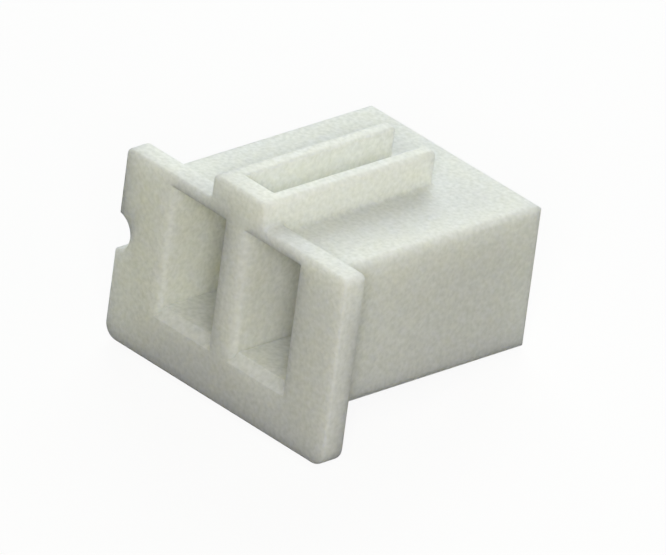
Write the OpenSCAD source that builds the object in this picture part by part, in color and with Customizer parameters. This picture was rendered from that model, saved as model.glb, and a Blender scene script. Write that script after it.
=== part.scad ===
// Single-row crimp connector housing, moulded in one piece.
// X runs along the row of terminals, Y from the wire side to the mating end, Z up.
// The origin is under the middle of the part, on the foot of the flange.
// All sizes are in millimetres.

/* [Row] */
// Terminal positions in the row
positions = 2; // [2:1:6]
// Distance from one terminal to the next
pitch = 2.5; // [2.4:0.02:3]

/* [Body] */
// Length of the plug body from the flange to the mating end
body_l = 6.24; // [5.6:0.02:8]
// Height of the plug body
body_h = 3.64; // [3.4:0.02:4.4]
// From the last terminal's centre to the side of the body
body_end = 1.67; // [1.5:0.01:2.2]
// Rounding along the long edges of the body
edge_r = 0.22; // [0.1:0.02:0.36]
// Rounding around the mating end
nose_r = 0.18; // [0.08:0.02:0.3]

/* [Flange] */
// Thickness of the wire-side flange
flange_t = 0.62; // [0.5:0.02:0.9]
// From the last terminal's centre to the end of the flange
flange_end = 2.45; // [2.3:0.05:3.2]
// How far the flange hangs below the body
lip_below = 0.91; // [0.6:0.01:1.3]
// How far the flange stands above the body
lip_above = 0.26; // [0.2:0.02:0.6]
// Rounding of the flange's two lower corners
foot_r = 0.38; // [0.1:0.02:0.6]
// Rounding of the flange's two upper corners
head_r = 0.16; // [0.06:0.02:0.3]

/* [Finger tab] */
// Width of the tab in the middle of the flange's upper edge
tab_w = 1.76; // [1.3:0.02:2.2]
// Height of the tab above the flange
tab_rise = 0.62; // [0.3:0.02:1]
// Rounding of the tab's two corners
tab_r = 0.14; // [0.06:0.02:0.18]

/* [Key rails] */
// Thickness of each rail behind the two sides of the tab
rail_w = 0.4; // [0.38:0.02:0.56]
// Length of body kept clear between the rails and the mating end
rail_stop = 1.6; // [1:0.05:3]

/* [First-position mark] */
// Radius of the round nick in one end of the flange
mark_r = 0.46; // [0.3:0.02:0.6]
// Depth of the nick
mark_d = 0.42; // [0.2:0.02:0.6]
// Height of the nick's centre above the foot of the flange
mark_z = 2.66; // [1.8:0.02:3.2]

/* [Terminal cavities] */
// Width of a cavity
cavity_w = 1.68; // [1.4:0.02:1.76]
// Wall under the cavities
floor_t = 0.5; // [0.4:0.02:0.6]
// Wall above the cavities
roof_t = 0.4; // [0.4:0.02:0.6]
// Wall between the cavities and the mating face
front_t = 0.7; // [0.4:0.05:1]

/* [Wire entries] */
// How far a wire entry in the flange rises above its cavity
entry_rise = 0.38; // [0.1:0.02:0.38]
// Slope cut at the sides of a wire entry
entry_lead = 0.12; // [0.05:0.01:0.18]
// Slope cut at the sill of a wire entry
sill_lead = 0.24; // [0.1:0.02:0.4]

/* [Pin holes] */
// Width and height of a pin hole
pin_w = 1; // [0.8:0.02:1.2]
// Slope cut around the mouth of a pin hole
pin_lead = 0.22; // [0.1:0.02:0.3]

/* [Latch windows underneath] */
// Width of the window where a terminal's tongue catches
window_w = 1.06; // [0.7:0.02:1.3]
// Length of the window
window_l = 1.5; // [1:0.05:2]
// From the flange to the window
window_y = 2.2; // [1.6:0.05:2.6]

/* [Hidden] */
$fn = 48;
eps = 0.02;
row = (positions - 1) * pitch;
flange_w = row + 2 * flange_end;
flange_h = lip_below + body_h + lip_above;
body_w = row + 2 * body_end;
body_z = lip_below;
body_top = body_z + body_h;
total_l = flange_t + body_l;
nose_y = total_l;
rail_y1 = nose_y - rail_stop;
tab_top = flange_h + tab_rise;
cavity_z0 = body_z + floor_t;
cavity_z1 = body_top - roof_t;
entry_top = cavity_z1 + entry_rise;
pin_z0 = (cavity_z0 + cavity_z1 - pin_w) / 2;
pin_z1 = pin_z0 + pin_w;
cavity_y1 = nose_y - front_t;
window_y0 = flange_t + window_y;

housing();

// The whole moulding: flange and plug body joined, with every hollow cut through both
module housing() {
    color("#dfe0d6")
    translate([0, -total_l / 2, 0])
    difference() {
        union() {
            flange();
            body();
            rails();
        }
        at_positions() {
            wire_entry();
            cavity();
            pin_hole();
            latch_window();
        }
    }
}

// Flange outline seen from the wire side, with finger tab and first-position nick
module flange() {
    turn_up(0, flange_t)
    difference() {
        union() {
            corner_plate(flange_w, flange_h, foot_r, head_r);
            translate([0, body_top])
            tab_outline();
        }
        translate([-flange_w / 2 + mark_d - mark_r, mark_z])
        circle(r = mark_r);
    }
}

// Tab outline from the top of the body up
module tab_outline() {
    corner_plate(tab_w, tab_top - body_top, 0, tab_r);
}

// Plug body with rounded edges
module body() {
    intersection() {
        turn_up(flange_t - eps, nose_y)
        translate([0, body_z])
        corner_plate(body_w, body_h, edge_r, edge_r);
        nose_plan();
        nose_side();
    }
}

// Body seen from above: square at the flange, rounded at the mating end
module nose_plan() {
    linear_extrude(height = body_top + 1)
    translate([0, flange_t / 2])
    corner_plate(body_w, nose_y - flange_t / 2, 0, nose_r);
}

// Body seen from the side: square at the flange, rounded at the mating end
module nose_side() {
    translate([-body_w / 2 - 1, 0, body_z + body_h / 2])
    rotate([0, 90, 0])
    linear_extrude(height = body_w + 2)
    translate([0, flange_t / 2])
    corner_plate(body_h, nose_y - flange_t / 2, 0, nose_r);
}

// Two key rails that run back from the sides of the tab at its height
module rails() {
    turn_up(flange_t - eps, rail_y1)
    difference() {
        translate([0, body_top - eps])
        corner_plate(tab_w, tab_top - body_top + eps, 0, tab_r);
        translate([0, body_top - 2 * eps])
        square_plate(tab_w - 2 * rail_w, tab_top);
    }
}

// Opening in the flange for one wire, taller than the cavity, with sloped sides and sill
module wire_entry() {
    w = cavity_w / 2;
    intersection() {
        linear_extrude(height = flange_h)
        polygon([
            [-w - entry_lead - eps, -eps], [w + entry_lead + eps, -eps], [w, entry_lead],
            [w, flange_t], [-w, flange_t], [-w, entry_lead]
        ]);
        turn_side(2 * w + 2 * entry_lead + 1)
        polygon([
            [-eps, cavity_z0 - sill_lead - eps], [sill_lead, cavity_z0], [flange_t, cavity_z0],
            [flange_t, entry_top], [-eps, entry_top]
        ]);
    }
}

// Hollow for one terminal, from the flange to the front wall
module cavity() {
    box_hole(cavity_w, cavity_z0, cavity_z1, flange_t - eps, cavity_y1);
}

// Square hole in the mating face for one pin
module pin_hole() {
    box_hole(pin_w, pin_z0, pin_z1, cavity_y1 - eps, nose_y + eps);
    mouth(pin_w, pin_z0, pin_z1, nose_y + eps, nose_y - pin_lead);
}

// Window through the floor where a terminal's tongue catches
module latch_window() {
    box_hole(window_w, body_z - eps, cavity_z0 + eps, window_y0, window_y0 + window_l);
}

// Straight hole w wide, between two heights and two depths
module box_hole(w, z0, z1, y0, y1) {
    translate([-w / 2, y0, z0])
    cube([w, y1 - y0, z1 - z0]);
}

// Sloped mouth of such a hole, widest at y0
module mouth(w, z0, z1, y0, y1) {
    lead = abs(y1 - y0);
    intersection() {
        linear_extrude(height = flange_h + 1)
        polygon([
            [-w / 2 - lead, y0], [w / 2 + lead, y0], [w / 2, y1], [-w / 2, y1]
        ]);
        turn_side(w + 2 * lead + 1)
        polygon([
            [y0, z0 - lead], [y0, z1 + lead], [y1, z1], [y1, z0]
        ]);
    }
}

// Repeats its children at every terminal position
module at_positions() {
    for (i = [0 : 1 : positions - 1])
        translate([(i - (positions - 1) / 2) * pitch, 0, 0])
        children();
}

// Stands a drawing made in X and Z upright, from y0 to y1
module turn_up(y0, y1) {
    translate([0, y1, 0])
    rotate([90, 0, 0])
    linear_extrude(height = y1 - y0)
    children();
}

// Stands a drawing made in Y and Z across the part, w wide
module turn_side(w) {
    rotate([90, 0, 90])
    translate([0, 0, -w / 2])
    linear_extrude(height = w)
    children();
}

// Rectangle w by h standing on y = 0, with its lower and upper corners rounded
module corner_plate(w, h, low_r, high_r) {
    difference() {
        square_plate(w, h);
        for (s = [-1, 1]) {
            if (low_r > 0)
                translate([s * w / 2, 0]) corner_cut(low_r, -s, 1);
            if (high_r > 0)
                translate([s * w / 2, h]) corner_cut(high_r, -s, -1);
        }
    }
}

// Rectangle w by h standing on y = 0
module square_plate(w, h) {
    translate([-w / 2, 0]) square([w, h]);
}

// What a rounding of radius r takes from a corner, sx and sy pointing inwards
module corner_cut(r, sx, sy) {
    difference() {
        translate([sx > 0 ? -1 : -r, sy > 0 ? -1 : -r]) square(r + 1);
        translate([sx * r, sy * r]) circle(r = r);
    }
}
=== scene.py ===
"""Dresses the moulded nylon connector housing and sets its stage."""

import math

import bmesh
import bpy
from mathutils import Matrix, Vector


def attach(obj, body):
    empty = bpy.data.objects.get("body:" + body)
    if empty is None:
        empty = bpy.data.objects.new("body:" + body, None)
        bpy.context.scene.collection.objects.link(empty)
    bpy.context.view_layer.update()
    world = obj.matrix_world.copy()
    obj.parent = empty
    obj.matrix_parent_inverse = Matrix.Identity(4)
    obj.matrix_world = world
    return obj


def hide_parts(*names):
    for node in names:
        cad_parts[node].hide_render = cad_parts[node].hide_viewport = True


bl_info = {
    "name": "Crimp connector housing",
    "version": (1, 0, 0),
    "blender": (4, 5, 0),
    "location": "View3D > Sidebar > Housing",
    "description": "Moulded nylon connector housing with its stage",
    "category": "Object",
}

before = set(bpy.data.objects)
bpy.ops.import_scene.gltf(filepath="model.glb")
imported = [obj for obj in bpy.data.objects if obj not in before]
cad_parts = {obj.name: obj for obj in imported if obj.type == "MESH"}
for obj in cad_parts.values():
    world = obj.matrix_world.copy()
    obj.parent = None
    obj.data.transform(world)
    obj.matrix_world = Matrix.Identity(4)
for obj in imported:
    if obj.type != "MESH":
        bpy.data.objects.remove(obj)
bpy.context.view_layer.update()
NODE = "housing"
MM = 0.001
WHITE = (1.0, 1.0, 1.0, 1.0)

# Edges: sharper than SOFT_FROM they are softened, from SLOPE_FROM they bound a slope
SOFT_FROM = math.radians(50)
SLOPE_FROM = math.radians(30)
# The least lean, up and outwards, of a face that counts as a sill
SILL_LEAN = 0.5
# How far the rounding and the pin mouths reach back from the mating end
NOSE_ZONE = 0.23 * MM
# Lengthwise edges of narrower faces are the thin horns beside the nick
NARROW_FACE = 0.07 * MM
LENGTHWISE = 0.99
MERGE_WITHIN = 0.0001 * MM
EVEN_WEIGHT = 100

# Nylon: noise scales are in repeats per metre
CLOUD_SCALE = 900.0
CLOUD_DETAIL = 3.0
CLOUD_ROUGHNESS = 0.6
CLOUD_RANGE = (0.35, 0.7)
GRAIN_SCALE = 9000.0
GRAIN_DETAIL = 1.0
GRAIN_RANGE = (0.25, 0.75)
GRAIN_DEPTH = 0.02 * MM
GRAIN_STRENGTH = 0.2
GRAIN_ROUGHNESS = 0.15
NYLON_IOR = 1.53
NYLON_SPECULAR = 0.3
SCATTER_BY_COLOUR = (1.0, 0.95, 0.75)

# Floor: points this near the lowest one are on the foot
FOOT_WITHIN = 0.01 * MM
# Points this far beyond the foot may touch the floor too
NOSE_BEYOND = 1.0 * MM
FLOOR_GAP = 0.004 * MM
FLOOR_HALF = 300 * MM

# Camera
PHOTO_WIDTH = 666
SENSOR_WIDTH = 36.0
CLIP_START = 1 * MM
CLIP_END = 2.0

# Lamps: name, degrees round from the wire side, degrees up, width
LAMP_DISTANCE = 70 * MM
LAMP_TARGET = Vector((0.0, 0.0, 2 * MM))
LAMPS = (
    ("front", 44, 27, 20 * MM),
    ("top", 40, 60, 50 * MM),
    ("side", 100, 45, 50 * MM),
    ("rear", 225, 40, 50 * MM),
)


class HousingMoulding(bpy.types.PropertyGroup):
    """Edges and finish of the moulded nylon"""

    edge_soft: bpy.props.FloatProperty(
        name="Edge softness",
        description="Width of the rounding that the mould leaves on sharp edges",
        default=0.08 * MM,
        min=0.0,
        precision=6,
        unit="LENGTH",
    )
    edge_steps: bpy.props.IntProperty(
        name="Edge steps",
        description="Facets across each rounded edge",
        default=3,
        min=1,
        max=6,
    )
    colour: bpy.props.FloatVectorProperty(
        name="Nylon",
        description="Body colour of the natural nylon",
        default=(0.92, 0.934, 0.89),
        size=3,
        min=0.0,
        max=1.0,
        subtype="COLOR",
    )
    cloud_colour: bpy.props.FloatVectorProperty(
        name="Clouding",
        description="Colour of the slightly duller clouds in the nylon",
        default=(0.904, 0.91, 0.852),
        size=3,
        min=0.0,
        max=1.0,
        subtype="COLOR",
    )
    speckle_colour: bpy.props.FloatVectorProperty(
        name="Speckle",
        description="Colour that darkens the nylon in the fine grain of its skin",
        default=(0.837, 0.844, 0.831),
        size=3,
        min=0.0,
        max=1.0,
        subtype="COLOR",
    )
    scatter: bpy.props.FloatProperty(
        name="Scatter depth",
        description="How far light travels inside the nylon",
        default=1.4 * MM,
        min=0.0,
        precision=6,
        unit="LENGTH",
    )
    roughness: bpy.props.FloatProperty(
        name="Roughness",
        description="Roughness of the moulded skin",
        default=0.5,
        min=0.0,
        max=1.0,
        subtype="FACTOR",
    )


class HousingStage(bpy.types.PropertyGroup):
    """Camera, floor and lamps"""

    azimuth: bpy.props.FloatProperty(
        name="Azimuth",
        description="Turn of the camera round the housing from its wire side",
        default=math.radians(44.03),
        subtype="ANGLE",
    )
    elevation: bpy.props.FloatProperty(
        name="Elevation",
        description="Angle of the camera above the housing's own level",
        default=math.radians(27.245),
        subtype="ANGLE",
    )
    roll: bpy.props.FloatProperty(
        name="Roll",
        description="Lean of the camera to one side",
        default=math.radians(7.687),
        subtype="ANGLE",
    )
    focal_px: bpy.props.FloatProperty(
        name="Focal length",
        description="Focal length in pixels of the photograph's frame",
        default=20000.0,
        subtype="PIXEL",
    )
    px_per_mm: bpy.props.FloatProperty(
        name="Scale",
        description="Pixels of the frame for each millimetre at the aim point",
        default=44.21,
    )
    aim: bpy.props.FloatVectorProperty(
        name="Aim",
        description="Point in the middle of the frame",
        default=(-0.058 * MM, -0.006 * MM, 2.250 * MM),
        size=3,
        precision=6,
        subtype="TRANSLATION",
        unit="LENGTH",
    )
    ambient: bpy.props.FloatProperty(
        name="Ambient",
        description="Strength of the even light from all round",
        default=0.02,
        min=0.0,
    )
    ambient_colour: bpy.props.FloatVectorProperty(
        name="Ambient colour",
        description="Colour of the even light",
        default=(1.0, 1.0, 0.9),
        size=3,
        min=0.0,
        max=1.0,
        subtype="COLOR",
    )
    front_level: bpy.props.FloatProperty(
        name="Front lamp",
        description="Light on the housing from the small lamp in line with the camera",
        default=1.63,
        min=0.0,
    )
    front_colour: bpy.props.FloatVectorProperty(
        name="Front colour",
        description="Colour of the front lamp",
        default=(1.0, 0.982, 0.9),
        size=3,
        min=0.0,
        max=1.0,
        subtype="COLOR",
    )
    top_level: bpy.props.FloatProperty(
        name="Top lamp",
        description="Light on the housing from the soft lamp high in front",
        default=0.36,
        min=0.0,
    )
    top_colour: bpy.props.FloatVectorProperty(
        name="Top colour",
        description="Colour of the top lamp",
        default=(0.93, 1.0, 0.78),
        size=3,
        min=0.0,
        max=1.0,
        subtype="COLOR",
    )
    side_level: bpy.props.FloatProperty(
        name="Side lamp",
        description="Light on the housing from the soft lamp beyond its right end",
        default=0.38,
        min=0.0,
    )
    side_colour: bpy.props.FloatVectorProperty(
        name="Side colour",
        description="Colour of the side lamp",
        default=(1.0, 1.0, 0.97),
        size=3,
        min=0.0,
        max=1.0,
        subtype="COLOR",
    )
    rear_level: bpy.props.FloatProperty(
        name="Rear lamp",
        description="Light from behind the left end, which shines through thin walls",
        default=2.28,
        min=0.0,
    )
    rear_colour: bpy.props.FloatVectorProperty(
        name="Rear colour",
        description="Colour of the rear lamp",
        default=(0.94, 1.0, 0.96),
        size=3,
        min=0.0,
        max=1.0,
        subtype="COLOR",
    )
    floor_colour: bpy.props.FloatVectorProperty(
        name="Floor",
        description="Colour of the pale floor",
        default=(0.3, 0.3, 0.29),
        size=3,
        min=0.0,
        max=1.0,
        subtype="COLOR",
    )
    backdrop_share: bpy.props.FloatProperty(
        name="Backdrop share",
        description="Share of the floor that shows as plain white to the camera",
        default=0.92,
        min=0.0,
        max=1.0,
        subtype="FACTOR",
    )


def link(tree, from_socket, to_socket):
    """Joins two sockets of a node tree"""
    tree.links.new(from_socket, to_socket)


def new_node(tree, kind, place, **settings):
    """Adds a node to a tree at a place on its sheet, with its settings"""
    node = tree.nodes.new(kind)
    node.location = place
    for key, value in settings.items():
        setattr(node, key, value)
    return node


def set_inputs(node, values):
    """Sets a node's plain inputs by the names of their sockets"""
    for name, value in values.items():
        node.inputs[name].default_value = value


def direction(azimuth, elevation):
    """Unit vector from the housing to an angle round it and an angle above it"""
    level = math.cos(elevation)
    return Vector(
        (math.sin(azimuth) * level, -math.cos(azimuth) * level, math.sin(elevation))
    )


def node_material(name):
    """Makes an empty node material and returns it with its tree and output"""
    material = bpy.data.materials.new(name)
    material.use_nodes = True
    tree = material.node_tree
    tree.nodes.clear()
    output = new_node(tree, "ShaderNodeOutputMaterial", (600, 0))
    return material, tree, output


def noise_mask(tree, inlet, scale_name, height, settings, spread):
    """Noise at one of the group's scales, stretched from a range to a full mask"""
    noise = new_node(tree, "ShaderNodeTexNoise", (-300, height))
    set_inputs(noise, settings)
    link(tree, inlet.outputs["Vector"], noise.inputs["Vector"])
    link(tree, inlet.outputs[scale_name], noise.inputs["Scale"])
    mask = new_node(tree, "ShaderNodeMapRange", (0, height))
    set_inputs(mask, {"From Min": spread[0], "From Max": spread[1]})
    link(tree, noise.outputs["Fac"], mask.inputs["Value"])
    return mask.outputs["Result"]


def nylon_grain_group():
    """Clouds inside the nylon and the fine grain of its moulded skin"""
    tree = bpy.data.node_groups.new("Nylon grain", "ShaderNodeTree")
    sockets = tree.interface
    sockets.new_socket("Vector", in_out="INPUT", socket_type="NodeSocketVector")
    for name, value in (("Cloud scale", CLOUD_SCALE), ("Grain scale", GRAIN_SCALE)):
        scale = sockets.new_socket(name, in_out="INPUT", socket_type="NodeSocketFloat")
        scale.default_value = value
    for name in ("Clouds", "Grain"):
        sockets.new_socket(name, in_out="OUTPUT", socket_type="NodeSocketFloat")
    inlet = new_node(tree, "NodeGroupInput", (-600, 0))
    outlet = new_node(tree, "NodeGroupOutput", (400, 0))
    cloud_noise = {"Detail": CLOUD_DETAIL, "Roughness": CLOUD_ROUGHNESS}
    clouds = noise_mask(tree, inlet, "Cloud scale", 150, cloud_noise, CLOUD_RANGE)
    grain_noise = {"Detail": GRAIN_DETAIL}
    grain = noise_mask(tree, inlet, "Grain scale", -150, grain_noise, GRAIN_RANGE)
    link(tree, clouds, outlet.inputs["Clouds"])
    link(tree, grain, outlet.inputs["Grain"])
    return tree


def nylon_material(finish):
    """Natural nylon: milky, lets light through thin walls, with a fine matt skin"""
    material, tree, output = node_material("natural_nylon")
    coords = new_node(tree, "ShaderNodeTexCoord", (-900, 0))
    grain = new_node(tree, "ShaderNodeGroup", (-650, 0), node_tree=nylon_grain_group())
    link(tree, coords.outputs["Object"], grain.inputs["Vector"])
    tint = new_node(tree, "ShaderNodeMix", (-350, 300), data_type="RGBA")
    set_inputs(tint, {"A": (*finish.colour, 1.0), "B": (*finish.cloud_colour, 1.0)})
    link(tree, grain.outputs["Clouds"], tint.inputs["Factor"])
    speckle = new_node(
        tree, "ShaderNodeMix", (-120, 300), data_type="RGBA", blend_type="MULTIPLY"
    )
    set_inputs(speckle, {"B": (*finish.speckle_colour, 1.0)})
    link(tree, grain.outputs["Grain"], speckle.inputs["Factor"])
    link(tree, tint.outputs["Result"], speckle.inputs["A"])
    skin = new_node(tree, "ShaderNodeMapRange", (-120, 50))
    set_inputs(
        skin,
        {"To Min": finish.roughness, "To Max": finish.roughness + GRAIN_ROUGHNESS},
    )
    link(tree, grain.outputs["Grain"], skin.inputs["Value"])
    bump = new_node(tree, "ShaderNodeBump", (-120, -250))
    set_inputs(bump, {"Strength": GRAIN_STRENGTH, "Distance": GRAIN_DEPTH})
    link(tree, grain.outputs["Grain"], bump.inputs["Height"])
    shader = new_node(tree, "ShaderNodeBsdfPrincipled", (100, 0))
    set_inputs(
        shader,
        {
            "IOR": NYLON_IOR,
            "Specular IOR Level": NYLON_SPECULAR,
            "Subsurface Weight": 1.0,
            "Subsurface Radius": SCATTER_BY_COLOUR,
            "Subsurface Scale": finish.scatter,
        },
    )
    link(tree, speckle.outputs["Result"], shader.inputs["Base Color"])
    link(tree, skin.outputs["Result"], shader.inputs["Roughness"])
    link(tree, bump.outputs["Normal"], shader.inputs["Normal"])
    link(tree, shader.outputs["BSDF"], output.inputs["Surface"])
    return material


def is_at_nose(edge, nose):
    """Whether an edge lies in the rounded zone at the mating end"""
    return min(v.co.y for v in edge.verts) > nose


def is_softened(edge, nose):
    """Whether the mould softens an edge: not at slopes, the nose or the nick's horns"""
    if edge.calc_face_angle(0.0) < SOFT_FROM or is_at_nose(edge, nose):
        return False
    beside = [other.calc_face_angle(0.0) for v in edge.verts for other in v.link_edges]
    if any(SLOPE_FROM < angle < SOFT_FROM for angle in beside):
        return False
    run = edge.verts[1].co - edge.verts[0].co
    face_width = 2 * min(face.calc_area() for face in edge.link_faces) / run.length
    return abs(run.y) < LENGTHWISE * run.length or face_width > NARROW_FACE


def is_crisp_slope(edge, nose):
    """Whether an edge bounds a sill or a pin mouth, where a slope keeps its shade"""
    leans = [min(face.normal.z, -face.normal.y) for face in edge.link_faces]
    return max(leans) > SILL_LEAN or is_at_nose(edge, nose)


def softened_copy(node_object, name, width, steps):
    """Copies a CAD node as clean faces and rounds its sharp edges"""
    bm = bmesh.new()
    bm.from_mesh(node_object.data)
    bmesh.ops.remove_doubles(bm, verts=bm.verts, dist=MERGE_WITHIN)
    share = bm.edges.layers.float.new("bevel_weight_edge")
    nose = max(v.co.y for v in bm.verts) - NOSE_ZONE
    for edge in bm.edges:
        soft = is_softened(edge, nose)
        crisp_from = SLOPE_FROM if is_crisp_slope(edge, nose) else SOFT_FROM
        edge[share] = float(soft)
        edge.smooth = soft or edge.calc_face_angle(0.0) < crisp_from
    mesh = bpy.data.meshes.new(name)
    bm.to_mesh(mesh)
    bm.free()
    piece = bpy.data.objects.new(name, mesh)
    bpy.context.scene.collection.objects.link(piece)
    bevel = piece.modifiers.new("Moulded edges", "BEVEL")
    bevel.width = width
    bevel.segments = steps
    bevel.limit_method = "WEIGHT"
    bevel.use_clamp_overlap = False
    bevel.loop_slide = False
    even = piece.modifiers.new("Even faces", "WEIGHTED_NORMAL")
    even.weight = EVEN_WEIGHT
    even.keep_sharp = True
    for face in mesh.polygons:
        face.use_smooth = True
    return piece


class HOUSING_OT_moulding(bpy.types.Operator):
    """Make the nylon moulding with softened edges in place of its plain solid"""

    bl_idname = "housing.moulding"
    bl_label = "Make moulding"

    def execute(self, context):
        finish = context.scene.housing_moulding
        piece = softened_copy(
            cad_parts[NODE], "moulding", finish.edge_soft, finish.edge_steps
        )
        piece.data.materials.append(nylon_material(finish))
        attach(piece, "root")
        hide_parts(NODE)
        return {"FINISHED"}


def resting_plane(node_object):
    """Point and slope of the floor under the housing, which rests on foot and nose"""
    points = [v.co for v in node_object.data.vertices]
    low = min(p.z for p in points)
    heel = max(p.y for p in points if p.z - low < FOOT_WITHIN)
    ahead = [p for p in points if p.y > heel + NOSE_BEYOND]
    slope = min(math.atan2(p.z - low, p.y - heel) for p in ahead)
    return Vector((0.0, heel, low)), slope


def seen_directly(tree, place):
    """Mask of the rays that show the backdrop: camera, glossy and transmission rays"""
    x, y = place
    path = new_node(tree, "ShaderNodeLightPath", (x, y))
    two = new_node(tree, "ShaderNodeMath", (x + 200, y), operation="MAXIMUM")
    three = new_node(tree, "ShaderNodeMath", (x + 400, y), operation="MAXIMUM")
    link(tree, path.outputs["Is Camera Ray"], two.inputs[0])
    link(tree, path.outputs["Is Glossy Ray"], two.inputs[1])
    link(tree, two.outputs["Value"], three.inputs[0])
    link(tree, path.outputs["Is Transmission Ray"], three.inputs[1])
    return three.outputs["Value"]


def floor_material(stage):
    """Pale floor that reads as white to the camera and keeps a trace of the shadow"""
    material, tree, output = node_material("pale_floor")
    seen = seen_directly(tree, (-900, 300))
    shade = new_node(tree, "ShaderNodeMix", (-100, 150), data_type="RGBA")
    set_inputs(shade, {"A": (*stage.floor_colour, 1.0), "B": WHITE})
    link(tree, seen, shade.inputs["Factor"])
    plain = new_node(tree, "ShaderNodeBsdfDiffuse", (100, 100))
    link(tree, shade.outputs["Result"], plain.inputs["Color"])
    white = new_node(tree, "ShaderNodeEmission", (100, -100))
    set_inputs(white, {"Color": WHITE, "Strength": 1.0})
    share = new_node(tree, "ShaderNodeMath", (-100, 300), operation="MULTIPLY")
    share.inputs[1].default_value = stage.backdrop_share
    link(tree, seen, share.inputs[0])
    mix = new_node(tree, "ShaderNodeMixShader", (350, 0))
    link(tree, share.outputs["Value"], mix.inputs["Fac"])
    link(tree, plain.outputs["BSDF"], mix.inputs[1])
    link(tree, white.outputs["Emission"], mix.inputs[2])
    link(tree, mix.outputs["Shader"], output.inputs["Surface"])
    return material


def make_floor(stage):
    """Lays the floor under the housing at the slope on which it rests"""
    heel, slope = resting_plane(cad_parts[NODE])
    along = Vector((0.0, math.cos(slope), math.sin(slope)))
    across = Vector((1.0, 0.0, 0.0))
    drop = Vector((0.0, math.sin(slope), -math.cos(slope))) * FLOOR_GAP
    corners = [(-1, -1), (1, -1), (1, 1), (-1, 1)]
    mesh = bpy.data.meshes.new("floor")
    mesh.from_pydata(
        [heel + drop + (across * a + along * b) * FLOOR_HALF for a, b in corners],
        [],
        [(0, 1, 2, 3)],
    )
    floor = bpy.data.objects.new("floor", mesh)
    floor.data.materials.append(floor_material(stage))
    bpy.context.scene.collection.objects.link(floor)


def make_world(stage):
    """Even light from all round, white where the camera looks past the floor"""
    world = bpy.data.worlds.new("light_tent")
    world.use_nodes = True
    tree = world.node_tree
    background = tree.nodes["Background"]
    seen = seen_directly(tree, (-900, 0))
    hue = new_node(tree, "ShaderNodeMix", (-250, 250), data_type="RGBA")
    set_inputs(hue, {"A": (*stage.ambient_colour, 1.0), "B": WHITE})
    link(tree, seen, hue.inputs["Factor"])
    link(tree, hue.outputs["Result"], background.inputs["Color"])
    level = new_node(tree, "ShaderNodeMix", (-250, 0), data_type="FLOAT")
    set_inputs(level, {"A": stage.ambient, "B": 1.0})
    link(tree, seen, level.inputs["Factor"])
    link(tree, level.outputs["Result"], background.inputs["Strength"])
    bpy.context.scene.world = world


def add_lamp(name, azimuth, elevation, size, level, colour):
    """Adds a square lamp that faces the housing and brings it a level of light"""
    lamp = bpy.data.lights.new(name, "AREA")
    lamp.shape = "SQUARE"
    lamp.size = size
    lamp.energy = level * math.pi * LAMP_DISTANCE**2
    lamp.color = colour
    away = direction(azimuth, elevation)
    holder = bpy.data.objects.new(name, lamp)
    holder.location = LAMP_TARGET + away * LAMP_DISTANCE
    holder.rotation_mode = "QUATERNION"
    holder.rotation_quaternion = away.to_track_quat("Z", "Y")
    bpy.context.scene.collection.objects.link(holder)


def make_camera(stage):
    """Sets the camera at the photograph's angle"""
    back = direction(stage.azimuth, stage.elevation)
    level = Vector((math.cos(stage.azimuth), math.sin(stage.azimuth), 0.0))
    above = back.cross(level)
    right = level * math.cos(stage.roll) + above * math.sin(stage.roll)
    up = above * math.cos(stage.roll) - level * math.sin(stage.roll)
    distance = stage.focal_px / stage.px_per_mm * MM
    data = bpy.data.cameras.new("camera")
    data.sensor_width = SENSOR_WIDTH
    data.lens = stage.focal_px * SENSOR_WIDTH / PHOTO_WIDTH
    data.clip_start = CLIP_START
    data.clip_end = CLIP_END
    camera = bpy.data.objects.new("camera", data)
    place = Matrix.Translation(Vector(stage.aim) + back * distance)
    camera.matrix_world = place @ Matrix((right, up, back)).transposed().to_4x4()
    bpy.context.scene.collection.objects.link(camera)
    bpy.context.scene.camera = camera


class HOUSING_OT_stage(bpy.types.Operator):
    """Lay the floor and set the lamps and the camera"""

    bl_idname = "housing.stage"
    bl_label = "Set stage"

    def execute(self, context):
        stage = context.scene.housing_stage
        make_camera(stage)
        make_floor(stage)
        make_world(stage)
        for name, azimuth, elevation, size in LAMPS:
            add_lamp(
                name,
                math.radians(azimuth),
                math.radians(elevation),
                size,
                getattr(stage, name + "_level"),
                getattr(stage, name + "_colour"),
            )
        context.scene.view_settings.view_transform = "Standard"
        return {"FINISHED"}


class HOUSING_PT_panel(bpy.types.Panel):
    """Housing tools in the sidebar"""

    bl_idname = "HOUSING_PT_panel"
    bl_label = "Connector housing"
    bl_space_type = "VIEW_3D"
    bl_region_type = "UI"
    bl_category = "Housing"

    def draw(self, context):
        for name, operator in (
            ("housing_moulding", HOUSING_OT_moulding),
            ("housing_stage", HOUSING_OT_stage),
        ):
            group = getattr(context.scene, name)
            box = self.layout.box()
            for key in group.__annotations__:
                box.prop(group, key)
            box.operator(operator.bl_idname)


CLASSES = (
    HousingMoulding,
    HousingStage,
    HOUSING_OT_moulding,
    HOUSING_OT_stage,
    HOUSING_PT_panel,
)


def register():
    """Registers the classes and hangs the settings on the scene"""
    for cls in CLASSES:
        bpy.utils.register_class(cls)
    bpy.types.Scene.housing_moulding = bpy.props.PointerProperty(type=HousingMoulding)
    bpy.types.Scene.housing_stage = bpy.props.PointerProperty(type=HousingStage)


def unregister():
    """Takes the settings and the classes away again"""
    del bpy.types.Scene.housing_moulding
    del bpy.types.Scene.housing_stage
    for cls in reversed(CLASSES):
        bpy.utils.unregister_class(cls)


def main():
    register()
    bpy.ops.housing.moulding()
    bpy.ops.housing.stage()


if __name__ == "__main__":
    main()
